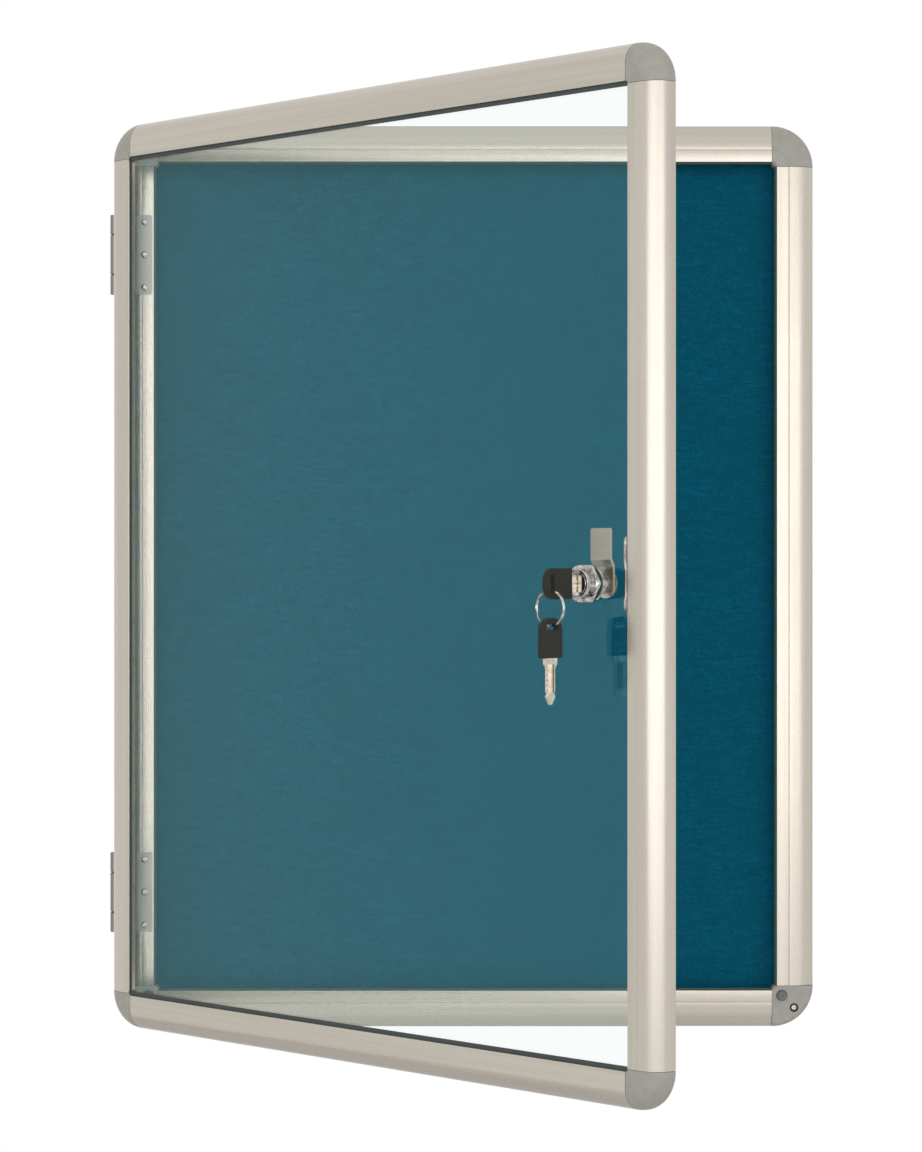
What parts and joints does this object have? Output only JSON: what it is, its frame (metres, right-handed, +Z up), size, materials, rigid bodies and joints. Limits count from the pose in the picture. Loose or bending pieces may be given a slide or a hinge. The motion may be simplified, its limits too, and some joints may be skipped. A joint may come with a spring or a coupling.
{
  "type": "lockable notice board",
  "caption": "Wall-mounted pin board in an extruded aluminium frame, with a hinged glazed door and a cam lock.",
  "frame": {"origin": "centre of the board on the wall plane, which is the rear face of the back frame", "axes": "+X to the right seen from the front, -Y out of the wall towards the reader, +Z up"},
  "size_m": [0.5144, 0.3663, 0.66],
  "materials": {
    "aluminium_section": "satin anodised, fine lines along the extrusion",
    "corner_piece": "satin grey lacquer on a smooth casting",
    "felt": "matt pressed felt, blue-green",
    "pin_board": "raw soft fibre board",
    "back_sheet": "thin zinc-grey sheet",
    "glass": "clear polished safety glass",
    "rubber": "matt dark grey",
    "hinge": "plated steel, satin",
    "screw": "bright plated",
    "chrome": "polished plating",
    "cam": "plated sheet steel, satin",
    "key_blade": "nickel-plated brass",
    "key_bow": "near-black moulded grip"
  },
  "bodies": {
    "frame": {"frame_rail_top": "aluminium_section", "frame_rail_bottom": "aluminium_section", "frame_stile_left": "aluminium_section", "frame_stile_right": "aluminium_section", "frame_corner_top_right": "corner_piece", "frame_corner_top_left": "corner_piece", "frame_corner_bottom_right": "corner_piece", "frame_corner_bottom_left": "corner_piece", "frame_corner_screw_left": "screw", "frame_corner_screw_right": "screw", "door_buffer_left": "rubber", "door_buffer_right": "rubber", "back_sheet": "back_sheet", "pin_board": "pin_board", "felt_cover": "felt", "hinge_upper_frame_leaf": "hinge", "hinge_upper_pin": "hinge", "hinge_upper_frame_screw_1": "screw", "hinge_upper_frame_screw_2": "screw", "hinge_upper_frame_screw_3": "screw", "hinge_lower_frame_leaf": "hinge", "hinge_lower_pin": "hinge", "hinge_lower_frame_screw_1": "screw", "hinge_lower_frame_screw_2": "screw", "hinge_lower_frame_screw_3": "screw"},
    "door": {"door_rail_top": "aluminium_section", "door_rail_bottom": "aluminium_section", "door_stile_lock": "aluminium_section", "door_stile_hinge": "aluminium_section", "door_corner_top_right": "corner_piece", "door_corner_top_left": "corner_piece", "door_corner_bottom_right": "corner_piece", "door_corner_bottom_left": "corner_piece", "glazing_gasket": "rubber", "glass_pane": "glass", "stile_plate": "chrome", "stile_plate_screw": "screw", "lock_housing": "chrome", "lock_washer": "rubber", "lock_nut": "chrome", "hinge_upper_door_leaf": "hinge", "hinge_upper_door_screw_1": "screw", "hinge_upper_door_screw_2": "screw", "hinge_upper_door_screw_3": "screw", "hinge_lower_door_leaf": "hinge", "hinge_lower_door_screw_1": "screw", "hinge_lower_door_screw_2": "screw", "hinge_lower_door_screw_3": "screw"},
    "lock": {"lock_plug": "chrome", "lock_cam": "cam", "cam_screw": "screw"},
    "key": {"key_blade": "key_blade", "key_bow": "key_bow"},
    "ring": {"key_ring": "chrome"},
    "spare_key": {"spare_key_blade": "key_blade", "spare_key_bow": "key_bow"}
  },
  "joints": [
    {"name": "door_hinge", "type": "hinge", "parent": "frame", "child": "door", "pos_m": [-0.2573, -0.02335, 0], "axis": [0, 0, -1], "range_deg": [-41.2, 128.8]},
    {"name": "lock_turn", "type": "hinge", "parent": "door", "child": "lock", "pos_m": [0.07247, -0.33059, -0.0046], "axis": [0.6587, 0.7524, 0], "range_deg": [0, 90]},
    {"name": "key_slide", "type": "slide", "parent": "lock", "child": "key", "axis": [-0.6587, -0.7524, 0], "range_m": [0, 0.027]},
    {"name": "ring_swing", "type": "hinge", "parent": "key", "child": "ring", "pos_m": [0.05034, -0.35587, -0.00868], "axis": [0.7524, -0.6587, 0], "range_deg": [-45, 10]},
    {"name": "spare_key_swing", "type": "hinge", "parent": "ring", "child": "spare_key", "pos_m": [0.05034, -0.35587, -0.03018], "axis": [0.7524, -0.6587, 0], "range_deg": [-30, 10]}
  ]
}
